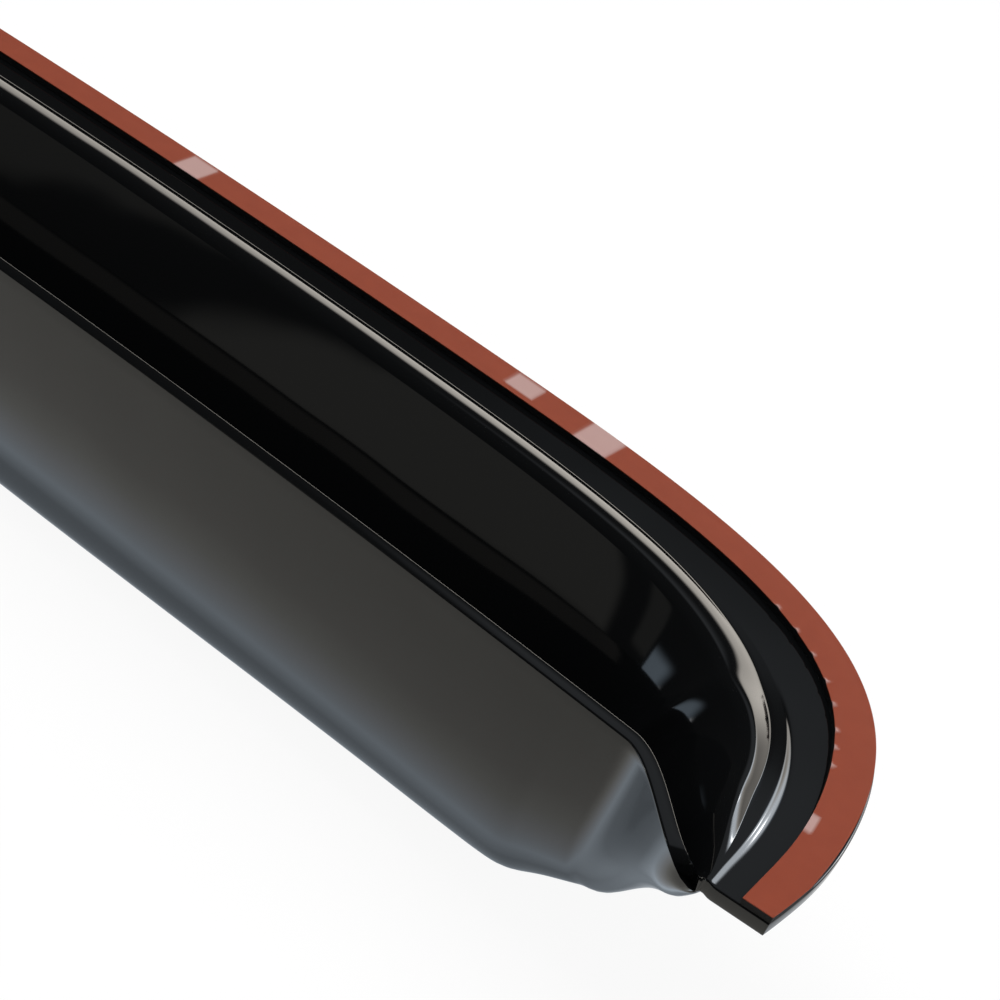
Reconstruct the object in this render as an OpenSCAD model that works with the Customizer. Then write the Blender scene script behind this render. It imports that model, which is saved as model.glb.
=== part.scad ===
// Stick-on rain deflector for a car's side window, seen from its car side.
// A flat flange with a strip of foam tape runs along one long side and round the near end.
// Inside the flange a low bead stands up, and from the bead the sheet drops into a deep
// trough whose far wall comes back up to the free edge.
// The adhesive side of the tape, with its release liner on, lies at Z = 0 and looks up.

/* [Shell] */
// Length over both ends
shell_length = 440; // [400:5:520]
// Thickness of the plastic sheet
sheet_t = 2.5; // [2:0.1:3]
// Distance from the flange's outer edge to the inner face of the free edge
edge_height = 53.8; // [50:0.1:58]
// Depth of the trough below the flange at mid-length
trough_depth = 42.6; // [36:0.1:46]
// Slope of the far wall below the bead, in degrees
wall_slope = 49; // [44:1:56]
// Radius of the gentle arch along the long side
arch_r = 2500; // [1800:50:6000]
// Width left at the far end, from the outer edge to the inner face of the free edge
far_width = 22.6; // [22:0.1:30]
// Length over which the shell narrows towards the far end
taper_length = 160; // [100:5:200]

/* [Flange] */
// Width of the flat flange at mid-length
flange_w = 10.7; // [10:0.1:11.5]
// Extra width of the flange before the corner
near_extra = 1.6; // [0:0.1:2]
// Extra width of the flange in the corner
corner_extra = 1.6; // [0:0.1:2]

/* [Near end] */
// Length of the corner along the long side
corner_x = 90; // [80:1:110]
// Drop of the corner from the long side to the straight end run
corner_y = 69.2; // [62:0.2:74]
// Length of the straight end run that follows the corner
end_run = 7.2; // [5:0.1:8]
// Sideways lean of the end run for each millimetre of its length
end_lean = 0.07; // [0:0.01:0.1]
// How far the flange's outer line is drawn in at the end
tip_in = 1.4; // [0:0.1:2]
// Length of the sweep by which the free edge drops to the end run
sweep_x = 20.1; // [18:0.1:26]

/* [Bead] */
// Distance from the foot of the bead's steep flank to its crest on the long side
bead_w = 5.2; // [4.5:0.1:5.5]
// Steepest slope of the flank on the long side
bead_rise = 0.38; // [0.2:0.01:0.42]
// How much steeper the flank gets near the end
corner_rise = 0.5; // [0.2:0.01:0.6]
// Slope of the small step that runs along the flange's inner line near the end
step_rise = 0.5; // [0.2:0.01:0.6]
// Radius over the crest, where the sheet turns down into the trough
crest_r = 3.2; // [2.9:0.1:4]

/* [Tape] */
// Width of the foam tape
tape_w = 6.35; // [5:0.05:8]
// Thickness of the foam tape
tape_t = 1.1; // [0.8:0.05:1.6]
// Thickness of the release liner
liner_t = 0.15; // [0.1:0.01:0.3]
// Distance of the tape from the flange's outer edge
tape_margin = 0.5; // [0.2:0.05:1]
// Distance of the tape's two ends from the ends of the flange
tape_end_gap = 0.2; // [0.1:0.1:3]

/* [Hidden] */

// Stations along the flange: long side, corner and end run
long_n = 22;
corner_n = 26;
end_n = 5;
// Steps across the sheet: flange, each stretch of the bead, crest, far wall and near wall
flange_n = 1;
bead_n = [1, 1, 1, 1, 2, 3];
crest_n = 3;
far_wall_n = 7;
near_wall_n = 9;

// The tape's centre line at mid-length is Y = 0, and the flange's upper face is below the tape
outer_y = tape_margin + tape_w / 2;
flange_z = -liner_t - tape_t;
near_x = shell_length / 2;
corner_start_x = near_x - corner_x;
// The outer edge leans in by this much below the corner, which puts its furthest point at near_x
end_inset = 1.4;
// Pull of the corner's curve along its two tangents, as a share of its legs
corner_pull_x = 0.667;
corner_pull_y = 0.768;

// The end is cut aslant: over this distance its stations swing round to the cut
end_skew = 0.12;
end_skew_over = 22;

// Distances along the outer edge, measured from the near end
fan_start = 8;
fan_end = 112;
// The trough reaches its depth over this length, by a curve of this power
bowl_length = 91;
bowl_power = 2.43;
bowl_start = 0.3;
bowl_run_in = 20;
// The trough is a little deeper on the long side than next to the near end
deepen_from = 60;
deepen_to = 200;
deepen = 0.1;
// The bowl's first stretch is held back, so that it dies out in the flange's end
bowl_hold = 4.5;
// The flat flange gives this up to the trough's tip at the near end
tip_w = 3.4;
tip_w_from = 5;
tip_w_to = 55;
// The flange's outer line is drawn in over this stretch
tip_over = 20;
// The tape is stretched round the corner, so it is narrower by this share at the near end
tape_stretch = 0.14;
// The bead stands up over this stretch
bead_start = 0.5;
bead_full = 17;
// Width of the small step, and how much wider it gets in the corner and narrower at the tip
step_w = 1;
step_wider = 0.9;
step_narrower = 0.2;
// Width of the ramp between the step and the flank in the corner
ramp_w = 2.3;
// Share of the flank's width between the ramp and the steepest place
steep_share = 0.1;
// Share of the crest's radius that is left at the near end, and where it is full
crest_left = 0.03;
crest_run_in = 22;
// Where the sweep of the free edge ends, from the near end and below the outer edge
sweep_end_x = 13.6;
sweep_end_y = 76.9;
// The sweep is cut off by the end of the flange before it runs out
sweep_over = 2.9;
// Share of the depth that is lost at the far end, and how far beyond it the taper would run out
far_depth_loss = 0.88;
taper_over = 15;
// Where the trough is deepest across its width, and the pulls of the two walls' curves
bottom_share = 0.85;
far_wall_pull = 0.6;
bottom_pull = 0.35;
near_bottom_pull = 2.2;
near_wall_pull = 0.6;
near_wall_lean = 0.02;
// Depth at mid-length before the deepening is added
depth_near = trough_depth / (1 + deepen);
min_drop = 0.05;

function clamp(v) = min(max(v, 0), 1);
function ease(v, a, b) = let (t = clamp((v - a) / (b - a))) t * t * (3 - 2 * t);
function unit(v) = v / norm(v);
function flat(v) = [v.x, v.y, 0];
function bezier(a, b, c, d, t) =
    pow(1 - t, 3) * a + 3 * pow(1 - t, 2) * t * b + 3 * (1 - t) * t * t * c + t * t * t * d;

// Height of the arch at a place along the length
function arch_y(x) = outer_y - x * x / (2 * arch_r);

// Outer edge of the flange: the arch, the corner and the end run
corner_a = [corner_start_x, arch_y(corner_start_x)];
corner_d = [near_x - end_inset, outer_y - corner_y];
corner_b = corner_a + corner_pull_x * corner_x * [1, -corner_start_x / arch_r];
corner_c = corner_d + corner_pull_y * corner_y * [end_lean, 1];
edge = concat(
    [for (i = [0:long_n - 1])
        let (x = -near_x + (corner_start_x + near_x) * i / (long_n - 1)) [x, arch_y(x)]],
    [for (i = [1:corner_n]) bezier(corner_a, corner_b, corner_c, corner_d, i / corner_n)],
    [for (i = [1:end_n]) corner_d - end_run * i / end_n * [end_lean, 1]]
);
count = len(edge);

// Distance along the outer edge from each station to the near end
to_end = [for (i = count - 1, s = 0; i >= 0; s = s + (i > 0 ? norm(edge[i] - edge[i - 1]) : 0), i = i - 1) s];
function left(i) = to_end[count - 1 - i];
corner_left = left(long_n - 1);

// Direction from the outer edge towards the trough at each station
inward = [for (i = [0:count - 1])
    let (t = unit(edge[min(i + 1, count - 1)] - edge[max(i - 1, 0)]),
        skew = end_skew * (1 - ease(left(i), 0, end_skew_over)))
    [t.y, -t.x] + skew * t];

// 1 at a distance from the near end, falling off as a bell curve on both sides
function near_bell(e, middle, spread) = exp(-pow((e - middle) / spread, 2) / 2);

// How far the flange's outer line is drawn in before the near end
function tip_cut(e) = tip_in * pow(clamp(1 - e / tip_over), 2);

// Width of the flat flange
function flange_at(e) = flange_w + near_extra * (1 - ease(e, 80, 240)) + corner_extra * near_bell(e, 62, 30)
    - tip_w * (1 - ease(e, tip_w_from, tip_w_to));

// Distances past the flange and the slopes there: a small step up, a gentle ramp, then the
// steep flank. Its slope falls to nothing at the crest, evenly on the long side and at the last
// moment next to the near end.
function bead_knots(e) =
    let (
        corner = 1 - ease(e, 20, 85),
        stands = ease(e, bead_start, bead_full),
        ramp = 0.1 * corner * stands,
        step = step_w + step_wider * (1 - ease(e, 15, 50)) - step_narrower * (1 - ease(e, 0, 5)),
        start = step + 0.05 + ramp_w * (1 - ease(e, 45, 100)) * ease(e, 0, 20),
        steep = (bead_rise + corner_rise * (1 - ease(e, 10, 65))) * stands,
        wide = bead_w * (0.04 + 0.34 * ease(e, 0, 14) + 0.62 * ease(e, 18, 55)),
        rising = steep_share * wide,
        hold = 0.5 + 0.3 * (1 - ease(e, 30, 80))
    )
    [[0, 0], [step * 0.7, step_rise * (1 - ease(e, 25, 58))], [step, ramp], [start, ramp],
        [start + rising, steep],
        [start + rising + (wide - rising) * hold, steep * (1 - hold * (1.8 - 1.6 * hold))],
        [start + wide, 0]];

// Height at a distance past the flange: the slope runs straight between its knots, so the
// height is its integral
function rise(knots, d, k = 0) = k > len(knots) - 2 ? 0
    : let (a = knots[k], b = knots[k + 1], long = b.x - a.x, part = min(max(d - a.x, 0), long))
    part * a.y + (b.y - a.y) * part * part / long / 2 + rise(knots, d, k + 1);

// The free edge runs along the arch, sweeps down to the near end and rises to the far end
sweep_x1 = near_x - sweep_end_x;
sweep_x0 = sweep_x1 - sweep_x;
function taper(x) = ease(-x, near_x - taper_length, near_x + taper_over);
function rim_x(i) = let (e = left(i)) e > fan_end ? edge[i].x
    : sweep_x1 - e + (corner_start_x + corner_left - sweep_x1) * ease(e, fan_start, fan_end);
function rim_base(x) = arch_y(x) - edge_height + (edge_height - far_width) * taper(x);
function rim(i) = let (x = rim_x(i),
    drop = outer_y - sweep_end_y - rim_base(sweep_x1),
    part = ease(x, sweep_x0, sweep_x1 + sweep_over) / ease(sweep_x1, sweep_x0, sweep_x1 + sweep_over))
    [x, rim_base(x) + drop * part, flange_z];

// Depth of the trough: a rounded bowl at the near end, a long taper at the far end
function depth(i) = let (e = left(i), q = clamp(1 - e / bowl_length))
    depth_near * pow(max(1 - pow(q, bowl_power), 0.0001), 1 / bowl_power)
    * (bowl_start + (1 - bowl_start) * ease(e, 0, bowl_run_in)) * ease(e, -0.5, bowl_hold)
    * (1 + deepen * ease(e, deepen_from, deepen_to))
    * (1 - far_depth_loss * taper(edge[i].x));

// Points across the inner face at one station, from the flange's outer edge to the free edge
function section(i) =
    let (
        e = left(i),
        base = [edge[i].x, edge[i].y, flange_z],
        n = [inward[i].x, inward[i].y, 0],
        up = [0, 0, 1],
        fw = flange_at(e),
        knots = bead_knots(e),
        top = knots[6].x,
        cr = crest_r * (crest_left + (1 - crest_left) * ease(e, 0, crest_run_in)),
        crest = base + n * (fw + top) + up * rise(knots, top),
        wall = crest + n * cr * sin(wall_slope) - up * cr * (1 - cos(wall_slope)),
        free = rim(i),
        across = unit(flat(free - wall)),
        span = norm(flat(free - wall)),
        low = min(flange_z - depth(i), wall.z - min_drop),
        bottom = flat(wall + across * span * bottom_share) + up * low,
        drop = wall.z - low,
        climb = flange_z - low,
        wall_b = wall + (n * cos(wall_slope) - up * sin(wall_slope)) * far_wall_pull * drop,
        wall_c = bottom - across * bottom_pull * span * bottom_share,
        near_b = bottom + across * near_bottom_pull * span * (1 - bottom_share),
        near_c = free - up * near_wall_pull * climb + across * near_wall_lean * climb
    )
    concat(
        [for (k = [0:flange_n]) base + n * (tip_cut(e) + (fw - tip_cut(e)) * k / flange_n)],
        [for (k = [0:5]) for (m = [1:bead_n[k]])
            let (d = knots[k].x + (knots[k + 1].x - knots[k].x) * m / bead_n[k])
            base + n * (fw + d) + up * rise(knots, d)],
        [for (k = [1:crest_n]) let (a = wall_slope * k / crest_n)
            crest + n * cr * sin(a) - up * cr * (1 - cos(a))],
        [for (k = [1:far_wall_n]) bezier(wall, wall_b, wall_c, bottom, k / far_wall_n)],
        [for (k = [1:near_wall_n]) bezier(bottom, near_b, near_c, free, k / near_wall_n)]
    );

inner = [for (i = [0:count - 1]) section(i)];
cols = len(inner[0]);

// Upward normal of the inner face at each of its points
function normal(i, j) =
    let (
        along = inner[min(i + 1, count - 1)][j] - inner[max(i - 1, 0)][j],
        over = inner[i][min(j + 1, cols - 1)] - inner[i][max(j - 1, 0)]
    )
    unit(cross(over, along));

// The outer face lies one sheet thickness below. The free edge is trimmed level, and turns
// upright where the near wall runs out in the flange's end.
function rim_normal(i) =
    let (
        t = unit(inner[min(i + 1, count - 1)][cols - 1] - inner[max(i - 1, 0)][cols - 1]),
        wall = ease(flange_z - min([for (p = inner[i]) p.z]), 0, 7)
    )
    unit([-t.y, t.x, 0] * wall + [0, 0, 1 - wall]);
function outer(i, j) = inner[i][j] - (j < cols - 1 ? normal(i, j) : rim_normal(i)) * sheet_t;

function quad(a, b, c, d) = [[a, b, c], [a, c, d]];
function inner_id(i, j) = i * cols + j;
function outer_id(i, j) = count * cols + i * cols + j;

module deflector_shell() {
    points = concat(
        [for (i = [0:count - 1]) for (j = [0:cols - 1]) inner[i][j]],
        [for (i = [0:count - 1]) for (j = [0:cols - 1]) outer(i, j)]
    );
    last_i = count - 1;
    last_j = cols - 1;
    faces = concat(
        [for (i = [0:last_i - 1]) for (j = [0:last_j - 1]) each quad(
            inner_id(i, j), inner_id(i + 1, j), inner_id(i + 1, j + 1), inner_id(i, j + 1))],
        [for (i = [0:last_i - 1]) for (j = [0:last_j - 1]) each quad(
            outer_id(i, j), outer_id(i, j + 1), outer_id(i + 1, j + 1), outer_id(i + 1, j))],
        [for (i = [0:last_i - 1]) each quad(
            inner_id(i, 0), outer_id(i, 0), outer_id(i + 1, 0), inner_id(i + 1, 0))],
        [for (i = [0:last_i - 1]) each quad(
            inner_id(i, last_j), inner_id(i + 1, last_j), outer_id(i + 1, last_j), outer_id(i, last_j))],
        [for (j = [0:last_j - 1]) each quad(
            inner_id(0, j), inner_id(0, j + 1), outer_id(0, j + 1), outer_id(0, j))],
        [for (j = [0:last_j - 1]) each quad(
            inner_id(last_i, j), outer_id(last_i, j), outer_id(last_i, j + 1), inner_id(last_i, j + 1))]
    );
    color([0.05, 0.055, 0.06]) polyhedron(points, faces, convexity = 8);
}

// The outer edge moved inwards, with its two ends drawn back
function inset(i, d) =
    let (pull = i == 0 ? tape_end_gap : i == count - 1 ? -tape_end_gap : 0)
    edge[i] + inward[i] * d + pull * [-inward[i].y, inward[i].x];

module tape_outline() {
    outer_side = [for (i = [0:count - 1]) inset(i, max(tape_margin, tip_cut(left(i)) + 0.05))];
    inner_side = [for (i = [0:count - 1])
        inset(i, tape_margin + tape_w * (1 - tape_stretch * (1 - ease(left(i), 10, 40))))];
    polygon(concat(outer_side, [for (i = [count - 1:-1:0]) inner_side[i]]));
}

module foam_tape() {
    color([0.03, 0.03, 0.03]) translate([0, 0, flange_z]) linear_extrude(tape_t) tape_outline();
}

module release_liner() {
    color([0.55, 0.3, 0.22]) translate([0, 0, -liner_t]) linear_extrude(liner_t) tape_outline();
}

deflector_shell();
foam_tape();
release_liner();
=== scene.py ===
"""Stick-on rain deflector for a car's side window, lying with its car side up."""
import bpy
import numpy as np
from mathutils import Matrix, Vector


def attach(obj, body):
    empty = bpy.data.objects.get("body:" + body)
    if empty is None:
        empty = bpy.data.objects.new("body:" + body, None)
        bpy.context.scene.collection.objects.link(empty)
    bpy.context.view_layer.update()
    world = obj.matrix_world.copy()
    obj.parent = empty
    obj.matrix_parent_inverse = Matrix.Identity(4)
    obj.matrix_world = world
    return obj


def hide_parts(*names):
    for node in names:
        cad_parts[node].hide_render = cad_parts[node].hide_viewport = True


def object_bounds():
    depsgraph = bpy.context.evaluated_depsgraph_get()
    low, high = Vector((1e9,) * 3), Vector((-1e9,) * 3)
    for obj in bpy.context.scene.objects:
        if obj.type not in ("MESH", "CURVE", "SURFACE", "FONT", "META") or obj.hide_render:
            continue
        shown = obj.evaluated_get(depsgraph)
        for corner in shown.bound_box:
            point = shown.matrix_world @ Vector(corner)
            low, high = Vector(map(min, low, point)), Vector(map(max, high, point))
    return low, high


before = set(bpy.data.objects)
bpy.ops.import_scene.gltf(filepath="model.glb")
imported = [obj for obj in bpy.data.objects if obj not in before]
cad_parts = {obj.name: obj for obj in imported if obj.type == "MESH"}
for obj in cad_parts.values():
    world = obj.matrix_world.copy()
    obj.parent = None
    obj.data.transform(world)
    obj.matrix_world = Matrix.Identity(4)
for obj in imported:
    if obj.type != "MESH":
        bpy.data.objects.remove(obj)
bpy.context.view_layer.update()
scene = bpy.context.scene


# Shell. One sheet of dark acrylic, heated and drawn over a mould, then trimmed. It is a flat
# flange, a low bead that stiffens it, and a deep trough whose near wall ends in the free edge.
# Lengths are in millimetres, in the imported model's frame, and are those of the source. A
# distance named e, as in ease(e, from, to), is what is left to go to the near end.
shell_length = 440
sheet_t = 2.5
edge_height = 53.8
trough_depth = 42.6
arch_r = 2500
far_width = 22.6
taper_length = 160
flange_w = 10.7
near_extra = 1.6
corner_extra = 1.6
corner_x = 90
corner_y = 69.2
end_run = 7.2
end_lean = 0.07
tip_in = 1.4
sweep_x = 20.1
bead_w = 5.2
bead_rise = 0.38
corner_rise = 0.5
step_rise = 0.5
crest_r = 3.2
wall_slope = 49
bottom_share = 0.85
tape_w = 6.35
tape_t = 1.1
liner_t = 0.15
tape_margin = 0.5

outer_y = tape_margin + tape_w / 2
flange_z = -liner_t - tape_t
near_x = shell_length / 2
corner_start_x = near_x - corner_x
edge_r = 0.3
edge_steps = np.radians(np.linspace(0, 90, 5))
edge_cuts = edge_r * (1 - np.cos(edge_steps))


def clamp(v):
    """The value, kept between 0 and 1."""
    return np.clip(v, 0, 1)


def ease(v, start, end):
    """0 before start and 1 after end, with a smooth step 3t^2 - 2t^3 between them."""
    t = clamp((v - start) / (end - start))
    return t * t * (3 - 2 * t)


def bezier(a, b, c, d, t):
    """Cubic curve from a to d, which leaves towards b and comes in from c."""
    return (1 - t) ** 3 * a + 3 * (1 - t) ** 2 * t * b + 3 * (1 - t) * t * t * c + t ** 3 * d


def arch_y(x):
    """The long side's arch in plan: a parabola y = outer_y - x^2 / 2r."""
    return outer_y - x * x / (2 * arch_r)


def unit(v):
    """Vectors divided by their lengths."""
    return v / np.linalg.norm(v, axis=-1, keepdims=True)


def cut_in(distance, radius):
    """How far a quarter round has cut in at a distance from the edge that it rounds: the radius
    less the leg of a right triangle whose longest side is the radius."""
    return radius - np.sqrt(radius ** 2 - np.maximum(radius - distance, 0) ** 2)


def outer_edge():
    """Outer edge of the flange in plan: the arch's parabola along the long side, a cubic curve
    round the corner, and a short straight run down to the near end. The stations crowd at both
    ends, where the sheet's trimmed edge is rounded."""
    end_inset, pull_x, pull_y = 1.4, 0.667, 0.768
    arch_stations, corner_stations, run_stations, first_gap, last_gap = 130, 150, 10, 1, 0.6
    x = np.append(edge_cuts - near_x,
                  np.linspace(first_gap - near_x, corner_start_x, arch_stations))
    start = np.array([corner_start_x, arch_y(corner_start_x)])
    end = np.array([near_x - end_inset, outer_y - corner_y])
    start_pull = start + pull_x * corner_x * np.array([1, -corner_start_x / arch_r])
    end_pull = end + pull_y * corner_y * np.array([end_lean, 1])
    t = np.linspace(0, 1, corner_stations + 1)[1:, None]
    to_go = np.append(np.linspace(end_run, last_gap, run_stations + 1)[1:], edge_cuts[::-1])
    return np.concatenate([
        np.stack([x, arch_y(x)], 1),
        bezier(start, start_pull, end_pull, end, t),
        end - (end_run - to_go)[:, None] * np.array([end_lean, 1]),
    ])


def along_edge(edge):
    """Vectors from the edge towards the trough, square to it, and the distance left to the near
    end, summed from point to point. The end is cut aslant, so over its last stretch the vectors
    lean ahead by a growing share of the way along."""
    skew, skew_over = 0.12, 22
    step = np.linalg.norm(np.diff(edge, axis=0), axis=1)
    left = np.append(np.cumsum(step[::-1])[::-1], 0)
    ahead = unit(np.gradient(edge, axis=0))
    lean = skew * (1 - ease(left, 0, skew_over))
    return np.stack([ahead[:, 1], -ahead[:, 0]], 1) + lean[:, None] * ahead, left


edge = outer_edge()
inward, left = along_edge(edge)
corner_left = left[np.argmin(np.abs(edge[:, 0] - corner_start_x))]


def near_bell(e, middle, spread):
    """1 at a distance from the near end, falling off as a bell curve on both sides."""
    return np.exp(-(((e - middle) / spread) ** 2) / 2)


def tip_cut(e):
    """How far the flange's outer line is drawn in over its last stretch before the near end: a
    parabola that starts level."""
    tip_over = 20
    return tip_in * clamp(1 - e / tip_over) ** 2


def flange_at(e):
    """Width of the flat flange: the width at mid-length, plus a smooth step towards the corner
    and a bell curve in it, less a smooth step towards the near end."""
    tip_w = 3.4
    widening = near_extra * (1 - ease(e, 80, 240))
    in_corner = corner_extra * near_bell(e, 62, 30)
    return flange_w + widening + in_corner - tip_w * (1 - ease(e, 5, 55))


def bead_knots(e):
    """Distances from the flange's inner line and slopes there, each a sum of smooth steps in e: a
    small step up, which only the near end has, a gentle ramp, then the steep flank, whose slope
    falls to nothing at the crest: evenly on the long side, at the last moment in the corner. All
    of it but the step runs out at the near end."""
    step_w, step_wider, step_narrower, ramp_w, ramp_slope = 1, 0.9, 0.2, 2.3, 0.1
    tip_share, end_share, side_share, steep_share = 0.04, 0.34, 0.62, 0.1
    corner = 1 - ease(e, 20, 85)
    stands = ease(e, 0.5, 17)
    step = step_rise * (1 - ease(e, 25, 58))
    ramp = ramp_slope * corner * stands
    steep = (bead_rise + corner_rise * (1 - ease(e, 10, 65))) * stands
    foot = step_w + step_wider * (1 - ease(e, 15, 50)) - step_narrower * (1 - ease(e, 0, 5))
    start = foot + 0.05 + ramp_w * (1 - ease(e, 45, 100)) * ease(e, 0, 20)
    wide = bead_w * (tip_share + end_share * ease(e, 0, 14) + side_share * ease(e, 18, 55))
    rising = steep_share * wide
    hold = 0.5 + 0.3 * (1 - ease(e, 30, 80))
    held = steep * (1 - hold * (1.8 - 1.6 * hold))
    zero = 0 * e
    at = [zero, foot * 0.7, foot, start, start + rising, start + rising + (wide - rising) * hold,
          start + wide]
    return np.stack(at, -1), np.stack([zero, step, ramp, ramp, steep, held, zero], -1)


def flank_z(e, d):
    """Height at a distance past the flange's inner line: the slope runs straight between its
    knots, so the height is its integral, one piece of a parabola after another."""
    at, slope = bead_knots(e)
    z = 0 * e
    for k in range(at.shape[-1] - 1):
        long = at[:, k + 1] - at[:, k]
        part = np.clip(d - at[:, k], 0, long)
        z = z + part * slope[:, k] + (slope[:, k + 1] - slope[:, k]) * part ** 2 / long / 2
    return z


def crest_at(e):
    """Radius over the crest, which a smooth step brings almost to nothing at the near end."""
    crest_left = 0.03
    return crest_r * (crest_left + (1 - crest_left) * ease(e, 0, 22))


def taper(x):
    """0 along the shell and 1 a little beyond its far end, where it would run out: a smooth
    step."""
    beyond = 15
    return ease(-x, near_x - taper_length, near_x + beyond)


def free_edge(edge, e):
    """Inner line of the free edge: it keeps its distance from the arch, sweeps down to the near
    end by a smooth step, and closes in on the flange over the taper. Next to the near end its
    stations lie e back from the end of the sweep, and past the fan straight across from the
    outer edge's, with a smooth step from one to the other."""
    sweep_x1, sweep_end_y, sweep_over = near_x - 13.6, 76.9, 2.9
    fan_from, fan_to = 8, 112
    sweep_x0 = sweep_x1 - sweep_x
    fan = sweep_x1 - e + (corner_start_x + corner_left - sweep_x1) * ease(e, fan_from, fan_to)
    x = np.where(e > fan_to, edge[:, 0], fan)

    # Without the sweep: the arch, less a distance that a smooth step narrows over the taper.
    def base(x):
        return arch_y(x) - edge_height + (edge_height - far_width) * taper(x)

    # The sweep's smooth step, which the near end cuts short.
    def swept(x):
        return ease(x, sweep_x0, sweep_x1 + sweep_over)
    drop = (outer_y - sweep_end_y - base(sweep_x1)) * (swept(x) / swept(sweep_x1))
    return np.stack([x, base(x) + drop, np.full(len(x), flange_z)], 1)


def trough_depth_at(edge, e):
    """Depth below the flange: a rounded quarter q^n + z^n = 1 over the bowl, times smooth steps
    that hold its first stretch back, deepen it slowly and run it out over the taper."""
    bowl_length, roundness, deepen = 91, 2.43, 0.1
    first_share, far_share, least = 0.3, 0.88, 0.0001
    q = clamp(1 - e / bowl_length)
    bowl = np.maximum(1 - q ** roundness, least) ** (1 / roundness)
    first = first_share + (1 - first_share) * ease(e, 0, 20)
    deepening = 1 + deepen * ease(e, 60, 200)
    depth = trough_depth / (1 + deepen) * bowl * first * ease(e, -0.5, 4.5) * deepening
    return depth * (1 - far_share * taper(edge[:, 0]))


def inner_face(edge, inward, e):
    """Points of the upper face, one row for each station along the edge. Across a row come the
    flat flange, the bead's flank, an arc over its crest, and two cubic curves down the far wall
    to the bottom and up the near wall to the free edge."""
    wall_pull, bottom_pull, near_pull, free_pull, free_lean = 0.6, 0.35, 2.2, 0.6, 0.02
    least_drop, flange_cuts, flank_cuts = 0.05, (0, 0.48, 0.96, 1), (4, 4, 3, 4, 5, 4)
    crest_cuts, wall_cuts, last_cut = 8, 24, 0.97
    up = np.array([0, 0, 1.0])
    n = np.column_stack([inward, np.zeros(len(e))])
    base = np.column_stack([edge, np.full(len(e), flange_z)])
    wide, crest = flange_at(e), crest_at(e)
    at = bead_knots(e)[0]
    bead = at[:, -1]
    crest_angle = np.radians(wall_slope)

    # A point at a distance in from the outer edge and a height above the flange.
    def over(d, z):
        return base + n * d[:, None] + up * z[:, None]

    # A point at an angle a over the crest: r sin a further in and r (1 - cos a) lower.
    def arc(a):
        return over(wide + bead + crest * np.sin(a), flank_z(e, bead) - crest * (1 - np.cos(a)))
    wall = arc(crest_angle)
    free = free_edge(edge, e)
    flat = (free - wall) * [1, 1, 0]
    span = np.linalg.norm(flat, axis=1)[:, None]
    across = flat / span
    low = np.minimum(flange_z - trough_depth_at(edge, e), wall[:, 2] - least_drop)[:, None]
    bottom = (wall + across * span * bottom_share) * [1, 1, 0] + up * low
    drop, climb = wall[:, 2:] - low, flange_z - low
    steep = n * np.cos(crest_angle) - up * np.sin(crest_angle)
    after_wall = wall + steep * wall_pull * drop
    before_bottom = bottom - across * bottom_pull * span * bottom_share
    after_bottom = bottom + across * near_pull * span * (1 - bottom_share)
    before_free = free - up * free_pull * climb + across * free_lean * climb
    tip = tip_cut(e)
    flat_w = wide - tip - 2 * edge_r
    rows = [over(tip + d, 0 * e) for d in edge_cuts]
    rows += [over(tip + 2 * edge_r + flat_w * s, 0 * e) for s in flange_cuts]
    for k, cuts in enumerate(flank_cuts):
        for s in np.linspace(0, 1, cuts + 1)[1:]:
            d = at[:, k] + (at[:, k + 1] - at[:, k]) * s
            rows.append(over(wide + d, flank_z(e, d)))
    rows += [arc(crest_angle * s) for s in np.linspace(0, 1, crest_cuts + 1)[1:]]
    rows += [bezier(wall, after_wall, before_bottom, bottom, s)
             for s in np.linspace(0, 1, wall_cuts + 1)[1:]]
    rows += [bezier(bottom, after_bottom, before_free, free, s)
             for s in np.linspace(0, last_cut, wall_cuts + 1)[1:]]
    # The last columns lie on the same curve, an edge's rounding from the free edge. Its share
    # there is a length over the speed at the curve's end, kept small where the curve is short.
    speed = 3 * np.linalg.norm(free - before_free, axis=1)[:, None]
    share = np.minimum(1 / speed, 0.02 / edge_r)
    rows += [bezier(bottom, after_bottom, before_free, free, 1 - d * share)
             for d in edge_cuts[::-1]]
    return np.stack(rows, 1)


def face_normals(points):
    """Upward unit normals of a grid: cross products of the differences between its neighbours.
    At the free edge they are level, and turn upright where the near wall runs out."""
    wall_from = 7
    found = unit(np.cross(np.gradient(points, axis=1), np.gradient(points, axis=0)))
    ahead = unit(np.gradient(points[:, -1], axis=0))
    wall = ease(flange_z - points[..., 2].min(axis=1), 0, wall_from)[:, None]
    level = np.stack([-ahead[:, 1], ahead[:, 0], 0 * left], 1)
    found[:, -len(edge_cuts):] = unit(level * wall + (1 - wall) * [0, 0, 1])[:, None]
    return found


def spread(normals, points, reach):
    """Normals averaged across each row by a bell curve: the underside of a drawn sheet turns
    more gently than its face, and its points don't cross where the face turns tightly."""
    step = np.linalg.norm(np.diff(points, axis=1), axis=2)
    at = np.pad(np.cumsum(step, axis=1), ((0, 0), (1, 0)))
    weight = np.exp(-((at[:, :, None] - at[:, None]) / reach) ** 2 / 2)
    return unit((weight * np.gradient(at, axis=1)[:, None]) @ normals)


inner = inner_face(edge, inward, left)
normals = face_normals(inner)
soft_normals = spread(normals, inner, 2)
soft_normals[:, -len(edge_cuts):] = normals[:, -len(edge_cuts):]
row_cut = np.maximum(cut_in(left, edge_r), cut_in(left[0] - left, edge_r))
col_cut = np.zeros(inner.shape[1])
col_cut[:len(edge_cuts)] = edge_r * (1 - np.sin(edge_steps))
col_cut[-len(edge_cuts):] = col_cut[len(edge_cuts) - 1::-1]
trim = np.maximum(row_cut[:, None], col_cut)[..., None]


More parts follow.
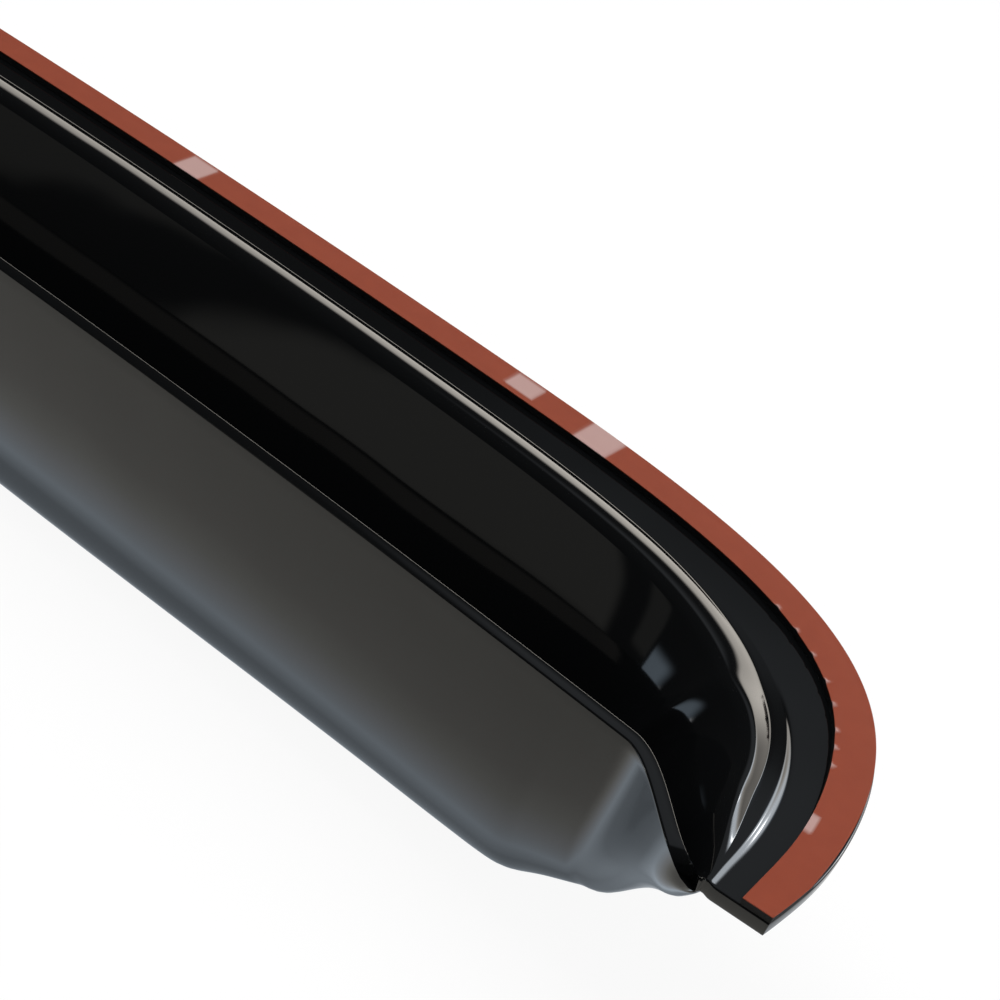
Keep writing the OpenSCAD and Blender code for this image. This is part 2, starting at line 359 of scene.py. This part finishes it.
def linear(colour):
    """Linear red, green, blue and alpha of an sRGB hex colour, by the sRGB curve: a straight
    line near black, and a power of 2.4 above it."""
    parts = np.array([int(colour[k:k + 2], 16) / 255 for k in (1, 3, 5)])
    parts = np.where(parts <= 0.04045, parts / 12.92, ((parts + 0.055) / 1.055) ** 2.4)
    return (*parts, 1.0)


def new_material(name):
    """A material with an empty node tree."""
    material = bpy.data.materials.new(name)
    material.use_nodes = True
    material.node_tree.nodes.clear()
    return material


def add(tree, kind, inputs=None, **settings):
    """Adds a node. Each input gets either a value or the output socket that feeds it."""
    node = tree.nodes.new(kind)
    for name, value in settings.items():
        setattr(node, name, value)
    for name, value in (inputs or {}).items():
        if isinstance(value, bpy.types.NodeSocket):
            tree.links.new(value, node.inputs[name])
        else:
            node.inputs[name].default_value = value
    return node


def finish_material(material, shader):
    """Takes a shader's output socket as the surface."""
    add(material.node_tree, "ShaderNodeOutputMaterial", {"Surface": shader})


# Polished dark acrylic: near-black, with a clear gloss, so that it shows mostly reflections. The
# drawing leaves waves of about 30 mm in it, so low that they only soften the reflections' borders.
acrylic = new_material("polished_smoke_acrylic")
tree = acrylic.node_tree
coords = add(tree, "ShaderNodeTexCoord").outputs["Object"]
waves = add(tree, "ShaderNodeTexNoise", {"Vector": coords, "Scale": 35, "Detail": 1})
bump = add(tree, "ShaderNodeBump", {
    "Height": waves.outputs[0], "Strength": 0.02, "Distance": 0.01})
gloss = add(tree, "ShaderNodeBsdfPrincipled", {
    "Base Color": linear("#0b0c0d"), "Roughness": 0.06, "IOR": 1.49, "Normal": bump.outputs[0]})
finish_material(acrylic, gloss.outputs[0])


def sheet_object(name, upper, lower, material, paint=None):
    """Closed mesh between two grids of points of one shape, in millimetres: the two faces and a
    strip of quads round their border. Where paint is given, its value at each point of the grid
    is kept as an attribute for the material."""
    sharp_from = 40
    rows, cols = upper.shape[:2]
    ids = np.arange(rows * cols).reshape(rows, cols)
    top = np.stack([ids[:-1, :-1], ids[:-1, 1:], ids[1:, 1:], ids[1:, :-1]], -1).reshape(-1, 4)
    border = np.concatenate([ids[0, :-1], ids[:-1, -1], ids[-1, :0:-1], ids[:0:-1, 0]])
    after = np.roll(border, -1)
    below = rows * cols
    sides = np.stack([after, border, border + below, after + below], -1)
    faces = np.concatenate([top, top[:, ::-1] + below, sides])
    points = np.concatenate([upper.reshape(-1, 3), lower.reshape(-1, 3)]) / 1000
    mesh = bpy.data.meshes.new(name)
    mesh.from_pydata(points.tolist(), [], faces.tolist())
    mesh.shade_smooth()
    mesh.set_sharp_from_angle(angle=np.radians(sharp_from))
    if paint is not None:
        layer = mesh.attributes.new(name="paint", type="FLOAT", domain="POINT")
        layer.data.foreach_set("value", np.tile(paint.ravel(), 2))
    mesh.materials.append(material)
    piece = bpy.data.objects.new(name, mesh)
    scene.collection.objects.link(piece)
    return piece


outer = inner - soft_normals * (sheet_t - trim)
shell = sheet_object("deflector_sheet", inner - normals * trim, outer, acrylic)
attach(shell, "root")
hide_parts("deflector_shell")


# Foam tape. A strip of black closed-cell foam with glue on both faces, laid on the flange a
# little inside its edge. It is stretched and so narrower after the corner.
tape_end_gap = 0.2
tape_stretch = 0.14


def strip_at(e, across):
    """Points of the flange's face at distances from the near end and shares of the tape's width:
    the edge's point there, and the way inwards times the distance from the edge."""
    tip_margin = 0.05

    # Values at the distances e, read off between the shell's stations on straight lines.
    def along(values):
        return np.stack([np.interp(e, left[::-1], values[::-1, k]) for k in (0, 1)], -1)
    start = np.maximum(tape_margin, tip_cut(e) + tip_margin)
    end = tape_margin + tape_w * (1 - tape_stretch * (1 - ease(e, 10, 40)))
    offset = start[:, None] + (end - start)[:, None] * across
    plan = along(edge)[:, None] + along(inward)[:, None] * offset[..., None]
    return np.concatenate([plan, np.full((*plan.shape[:2], 1), flange_z)], 2)


past_rounding = (left > 1) & (left < left[0] - 1)
foam_left = np.concatenate([[left[0] - tape_end_gap], left[past_rounding], [tape_end_gap]])
foam_floor = strip_at(foam_left, np.linspace(0, 1, 5))

# Matt black foam, which takes up nearly all light and shows as a black line under the liner. Its
# cells are about 0.4 mm wide, so its cut side looks grained.
foam_black = new_material("closed_cell_foam")
tree = foam_black.node_tree
coords = add(tree, "ShaderNodeTexCoord").outputs["Object"]
cells = add(tree, "ShaderNodeTexNoise", {"Vector": coords, "Scale": 2500, "Detail": 1}).outputs[0]
foam_colour = add(tree, "ShaderNodeMix", {
    0: cells, 6: linear("#060607"), 7: linear("#121213")}, data_type="RGBA")
pores = add(tree, "ShaderNodeBump", {"Height": cells, "Strength": 0.5, "Distance": 0.0002})
foam_skin = add(tree, "ShaderNodeBsdfPrincipled", {
    "Base Color": foam_colour.outputs[2], "Roughness": 0.9, "Normal": pores.outputs[0]})
finish_material(foam_black, foam_skin.outputs[0])

foam = sheet_object("foam_strip", foam_floor + [0, 0, tape_t], foam_floor, foam_black)
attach(foam, "root")
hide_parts("foam_tape")


# Release liner. Thin red-brown film on the tape's free side, with pale printed patches at some
# places. It was laid round the corner from a straight roll, so its inner side stands up in small
# puckers there: tents that are highest at that side and fall off straight along and across.
liner_left = np.linspace(left[0] - tape_end_gap, tape_end_gap, 900)
liner_across = np.array([0, 0.15, 0.3, 0.45, 0.6, 0.75, 0.84, 0.9, 0.95, 1])
liner_floor = strip_at(liner_left, liner_across) + [0, 0, tape_t]
pucker_height = 0.3
pucker_along = 0.9
pucker_across = 1.2
puckers = np.zeros(liner_floor.shape[:2])
for at in (33.6, 38.2, 42.6, 49.1, 54.9, 61.5, 67.6, 73.5):
    away = np.abs(liner_left[:, None] - at) / pucker_along
    puckers = np.maximum(puckers, 1 - away - (1 - liner_across) * tape_w / pucker_across)

# Each patch has a place and a length along the tape, and two sides as shares of its width. The
# print's ends are soft over 0.8 mm.
patch_soft = 0.4
patch_paint = 0.75
patches = np.zeros(liner_floor.shape[:2])
for at, long, outer_side, inner_side in (
        (213.3, 6, 0.1, 1), (135.5, 6, 0.1, 0.8), (118.7, 7, 0, 1), (19.5, 4, 0.8, 1.2)):
    away = ease(np.abs(liner_left - at), long / 2 - patch_soft, long / 2 + patch_soft)
    printed = (liner_across >= outer_side) * (liner_across <= inner_side)
    patches = np.maximum(patches, (1 - away)[:, None] * printed)

# Satin film, matt enough to show its own red-brown, which is a little uneven from one few
# millimetres to the next. Prints are pale, and the lifted puckers carry a painted highlight in
# the same pale colour, for the light that they catch.
film = new_material("red_liner_film")
tree = film.node_tree
# The paint attribute holds the prints and the puckers' painted highlight, both pale.
print_and_highlight = add(tree, "ShaderNodeAttribute", attribute_name="paint").outputs["Fac"]
coords = add(tree, "ShaderNodeTexCoord").outputs["Object"]
uneven = add(tree, "ShaderNodeTexNoise", {"Vector": coords, "Scale": 250, "Detail": 2}).outputs[0]
film_red = add(tree, "ShaderNodeMix", {
    0: uneven, 6: linear("#883c27"), 7: linear("#94442d")}, data_type="RGBA")
film_colour = add(tree, "ShaderNodeMix", {
    0: print_and_highlight, 6: film_red.outputs[2], 7: linear("#c9aba6")}, data_type="RGBA")
film_skin = add(tree, "ShaderNodeBsdfPrincipled", {
    "Base Color": film_colour.outputs[2], "Roughness": 0.55, "Specular IOR Level": 0.15})
finish_material(film, film_skin.outputs[0])

liner_low = liner_floor + puckers[..., None] * [0, 0, pucker_height]
# The puckers' height also sets their painted highlight; the patches set the print.
liner = sheet_object("liner_strip", liner_low + [0, 0, liner_t], liner_low, film,
                     np.maximum(puckers, patch_paint * patches))
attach(liner, "root")
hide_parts("release_liner")


# Camera. It looks over the free edge at the near end, from about 0.2 m up and in front. Places
# are in metres. The focal length is in pixels of the picture, which is 1000 pixels wide.
camera_at = Vector((0.2298, -0.2417, 0.1674))
camera_aim = Vector((0.14542, -0.03268, 0))
camera_roll = np.radians(20.2)
focal_pixels = 1800
picture_pixels = 1000
camera = bpy.data.objects.new("camera", bpy.data.cameras.new("camera"))
camera.data.sensor_width = 36
camera.data.lens = camera.data.sensor_width * focal_pixels / picture_pixels
camera.data.clip_start = 0.01
aim_turn = (camera_aim - camera_at).to_track_quat("-Z", "Y").to_matrix()
turn = aim_turn @ Matrix.Rotation(camera_roll, 3, "Z")
camera.matrix_world = Matrix.Translation(camera_at) @ turn.to_4x4()
scene.collection.objects.link(camera)
scene.camera = camera


# Floor. White paper under the part. To the camera it is nearly all plain white, and the rest of
# its white comes from the lamps, so it keeps a faint shadow. In reflections it shows painted light
# instead: warm and plain in front of the part, a painted bright bluish strip next to it, and
# painted shadow underneath.
floor_size = 3
floor_gap = 0.0005
plain_share = 0.9
plain_white = 1.03
mirrored_white = 2.2
strip_from, strip_to = -0.12, 0.02
paper = new_material("white_paper")
tree = paper.node_tree
path = add(tree, "ShaderNodeLightPath").outputs
place = add(tree, "ShaderNodeSeparateXYZ", {
    0: add(tree, "ShaderNodeTexCoord").outputs["Object"]})
across_floor = add(tree, "ShaderNodeMapRange", {
    "Value": place.outputs["Y"], "From Min": strip_from, "From Max": strip_to})
painted_floor_light = add(tree, "ShaderNodeValToRGB", {0: across_floor.outputs[0]})
stops = painted_floor_light.color_ramp.elements
# Painted light by place in Y: brightest in a bluish strip beside the part, painted shadow under
# it.
for k, (y, colour, level) in enumerate((
        (-0.110, "#fbf8ee", 0.80), (-0.094, "#fffcf4", 0.95), (-0.086, "#fffff8", 1.20),
        (-0.078, "#f7fbff", 1.60), (-0.069, "#e4f2ff", 2.15), (-0.062, "#e4f2ff", 0.90),
        (-0.054, "#e4f2ff", 0.50), (0.0, "#ffffff", 0.90))):
    stop = stops[k] if k < len(stops) else stops.new(1)
    stop.position = (y - strip_from) / (strip_to - strip_from)
    stop.color = (*np.array(linear(colour)[:3]) * level / mirrored_white, 1)
mirror_ray = add(tree, "ShaderNodeMath", {
    0: path["Is Glossy Ray"], 1: path["Is Transmission Ray"]}, operation="MAXIMUM").outputs[0]
seen = add(tree, "ShaderNodeMath", {
    0: path["Is Camera Ray"], 1: mirror_ray}, operation="MAXIMUM")
share = add(tree, "ShaderNodeMath", {0: seen.outputs[0], 1: plain_share}, operation="MULTIPLY")
tone = add(tree, "ShaderNodeMix", {
    0: mirror_ray, 6: linear("#ffffff"), 7: painted_floor_light.outputs[0]}, data_type="RGBA")
power = add(tree, "ShaderNodeMapRange", {
    "Value": mirror_ray, "To Min": plain_white, "To Max": mirrored_white})
plain = add(tree, "ShaderNodeEmission", {
    "Color": tone.outputs[2], "Strength": power.outputs[0]})
matt = add(tree, "ShaderNodeBsdfDiffuse", {"Color": linear("#ececec")})
white = add(tree, "ShaderNodeMixShader", {
    0: share.outputs[0], 1: matt.outputs[0], 2: plain.outputs[0]})
finish_material(paper, white.outputs[0])

floor_z = float(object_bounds()[0].z) - floor_gap
corners = [(x * floor_size, y * floor_size, floor_z)
           for x, y in ((-1, -1), (1, -1), (1, 1), (-1, 1))]
floor_mesh = bpy.data.meshes.new("floor")
floor_mesh.from_pydata(corners, [], [(0, 1, 2, 3)])
floor_mesh.materials.append(paper)
floor = bpy.data.objects.new("floor", floor_mesh)
scene.collection.objects.link(floor)


# Surroundings. The gloss shows them, and nothing else does. Their light is painted on the points
# of two grids: a dome by azimuth from +Y towards +X and height above the horizon, in degrees, and
# an upright screen in front of the part, by place in metres.
def soft_box(u, v, box, soft):
    """1 inside the box (u0, u1, v0, v1) and 0 outside it, with a border that fades inwards: the
    product of a smooth step up and a smooth step down each way."""
    u0, u1, v0, v1 = box
    return (ease(u, u0, u0 + soft) * (1 - ease(u, u1 - soft, u1))
            * ease(v, v0, v0 + soft) * (1 - ease(v, v1 - soft, v1)))


def glint(u, v, middle):
    """A small bell curve of the squared distance from its middle."""
    return np.exp(-((u - middle[0]) ** 2 + (v - middle[1]) ** 2) / 3)


def tint(colour, amount):
    """An amount of light at each point, times the linear values of a colour."""
    return amount[..., None] * np.array(linear(colour)[:3])


def glow_sheet(name, points, light):
    """A grid of points that glows with the light given at each, seen in reflections alone."""
    rows, cols = points.shape[:2]
    ids = np.arange(rows * cols).reshape(rows, cols)
    faces = np.stack([ids[:-1, :-1], ids[:-1, 1:], ids[1:, 1:], ids[1:, :-1]], -1).reshape(-1, 4)
    material = new_material(name + "_light")
    painted = add(material.node_tree, "ShaderNodeAttribute", attribute_name="light")
    glow = add(material.node_tree, "ShaderNodeEmission", {
        "Color": painted.outputs["Color"], "Strength": 1})
    finish_material(material, glow.outputs[0])
    mesh = bpy.data.meshes.new(name)
    mesh.from_pydata(points.reshape(-1, 3).tolist(), [], faces.tolist())
    layer = mesh.color_attributes.new(name="light", type="FLOAT_COLOR", domain="POINT")
    layer.data.foreach_set("color", np.concatenate([light, np.ones((rows, cols, 1))], 2).ravel())
    mesh.materials.append(material)
    sheet = bpy.data.objects.new(name, mesh)
    sheet.visible_camera = sheet.visible_diffuse = sheet.visible_shadow = False
    scene.collection.objects.link(sheet)


dome_radius = 6
az, el = np.meshgrid(np.arange(-180, 181, 1.0), np.arange(-3, 90, 1.0))
az_turn, el_turn = np.radians(az), np.radians(el)
dome = dome_radius * np.stack([np.sin(az_turn) * np.cos(el_turn),
                               np.cos(az_turn) * np.cos(el_turn), np.sin(el_turn)], -1)

# A bright horizon behind the part, which draws the white line along the bead. To the right it
# reaches higher and is dimmer low down, and a bluish patch of sky stands over it.
right = ease(az, 6, 22)
horizon_top = 25 + 18 * ease(az, 1, 19)
horizon = (ease(az, -46, -43) * (1 - ease(az, 42, 46))
           * (1 - ease(el, horizon_top - 7, horizon_top))
           * (1 - 0.6 * right * (1 - ease(el, 14, 24))) * (0.6 + 0.4 * ease(az, -40, -8)))
upper_right = right * ease(el, 20, 30) * (1 - ease(el, 36, 43)) * (1 - ease(az, 42, 46))

# A patch of pale sky low on the left, which the bowl shows. In the sum, the first two terms are
# the plain dark room and a wide grey box overhead, which greys the flange, and the two glints
# are the small bright spots on the bead's end and in the bowl.
side_top = np.interp(az, [-128, -121, -109, -98], [23, 20.5, 16, 12])
side = (ease(az, -128, -122) * (1 - ease(az, -110, -100)) * ease(el, 0, 3)
        * (1 - ease(el, side_top - 3, side_top + 1)))
light = (tint("#2a2a2a", np.ones(az.shape))
         + tint("#8a8f94", soft_box(az, el, (-30, 110, 30, 80), 14))
         + tint("#fff8ee", 3 * horizon)
         + tint("#cfe2f6", 5 * upper_right)
         + tint("#ffffff", 40 * glint(az, el, (28, 32.5)))
         + tint("#b4c6d6", 2.4 * side)
         + tint("#ffffff", 20 * glint(az, el, (-104, 3))))
glow_sheet("sky_dome", dome, light)

# The screen is dark, with two faint patches that the far wall of the trough shows.
screen_y = -0.35
x, z = np.meshgrid(np.linspace(-0.42, 0.02, 45), np.linspace(0.05, 0.45, 41))
screen = np.stack([x, np.full(x.shape, screen_y), z], -1)
glow_sheet("pale_screen", screen, tint("#2a2a2a", np.ones(x.shape))
           + tint("#fffdf4", 0.24 * soft_box(x, z, (-0.17, -0.01, 0.10, 0.40), 0.03))
           + tint("#fffdf4", 0.14 * soft_box(x, z, (-0.40, -0.24, 0.14, 0.42), 0.03)))

# World. Dim above the horizon and pale blue below it, where only grazing reflections look. The
# camera sees plain white instead.
world = bpy.data.worlds.new("surroundings")
scene.world = world
world.use_nodes = True
tree = world.node_tree
tree.nodes.clear()
way = add(tree, "ShaderNodeTexCoord").outputs["Generated"]
height = add(tree, "ShaderNodeSeparateXYZ", {0: way}).outputs["Z"]
lower = add(tree, "ShaderNodeMapRange", {"Value": height, "From Min": 0.01, "From Max": -0.01})
tone = add(tree, "ShaderNodeMix", {
    "Factor": lower.outputs[0], 6: linear("#595959"), 7: linear("#dfe9f5")}, data_type="RGBA")
direct = add(tree, "ShaderNodeLightPath").outputs["Is Camera Ray"]
backdrop = add(tree, "ShaderNodeMix", {
    "Factor": direct, 6: tone.outputs[2], 7: linear("#ffffff")}, data_type="RGBA")
background = add(tree, "ShaderNodeBackground", {"Color": backdrop.outputs[2], "Strength": 1})
add(tree, "ShaderNodeOutputWorld", {"Surface": background.outputs[0]})


# Lamps. Two wide soft suns, hidden from the gloss, light the liner and the foam at a plain level.
def soft_sun(name, azimuth, elevation, strength, spread_angle):
    """A sun that shines from an azimuth and a height above the horizon, given in degrees, from a
    round patch of sky of an angle across."""
    lamp = bpy.data.lights.new(name, "SUN")
    lamp.energy = strength
    lamp.angle = np.radians(spread_angle)
    holder = bpy.data.objects.new(name, lamp)
    az, el = np.radians([azimuth, elevation])
    towards = Vector((np.sin(az) * np.cos(el), np.cos(az) * np.cos(el), np.sin(el)))
    holder.rotation_euler = towards.to_track_quat("Z", "Y").to_euler()
    holder.visible_glossy = False
    scene.collection.objects.link(holder)


soft_sun("key", -60, 55, 2.2, 40)
soft_sun("fill", 110, 60, 0.9, 60)

scene.view_settings.view_transform = "Standard"
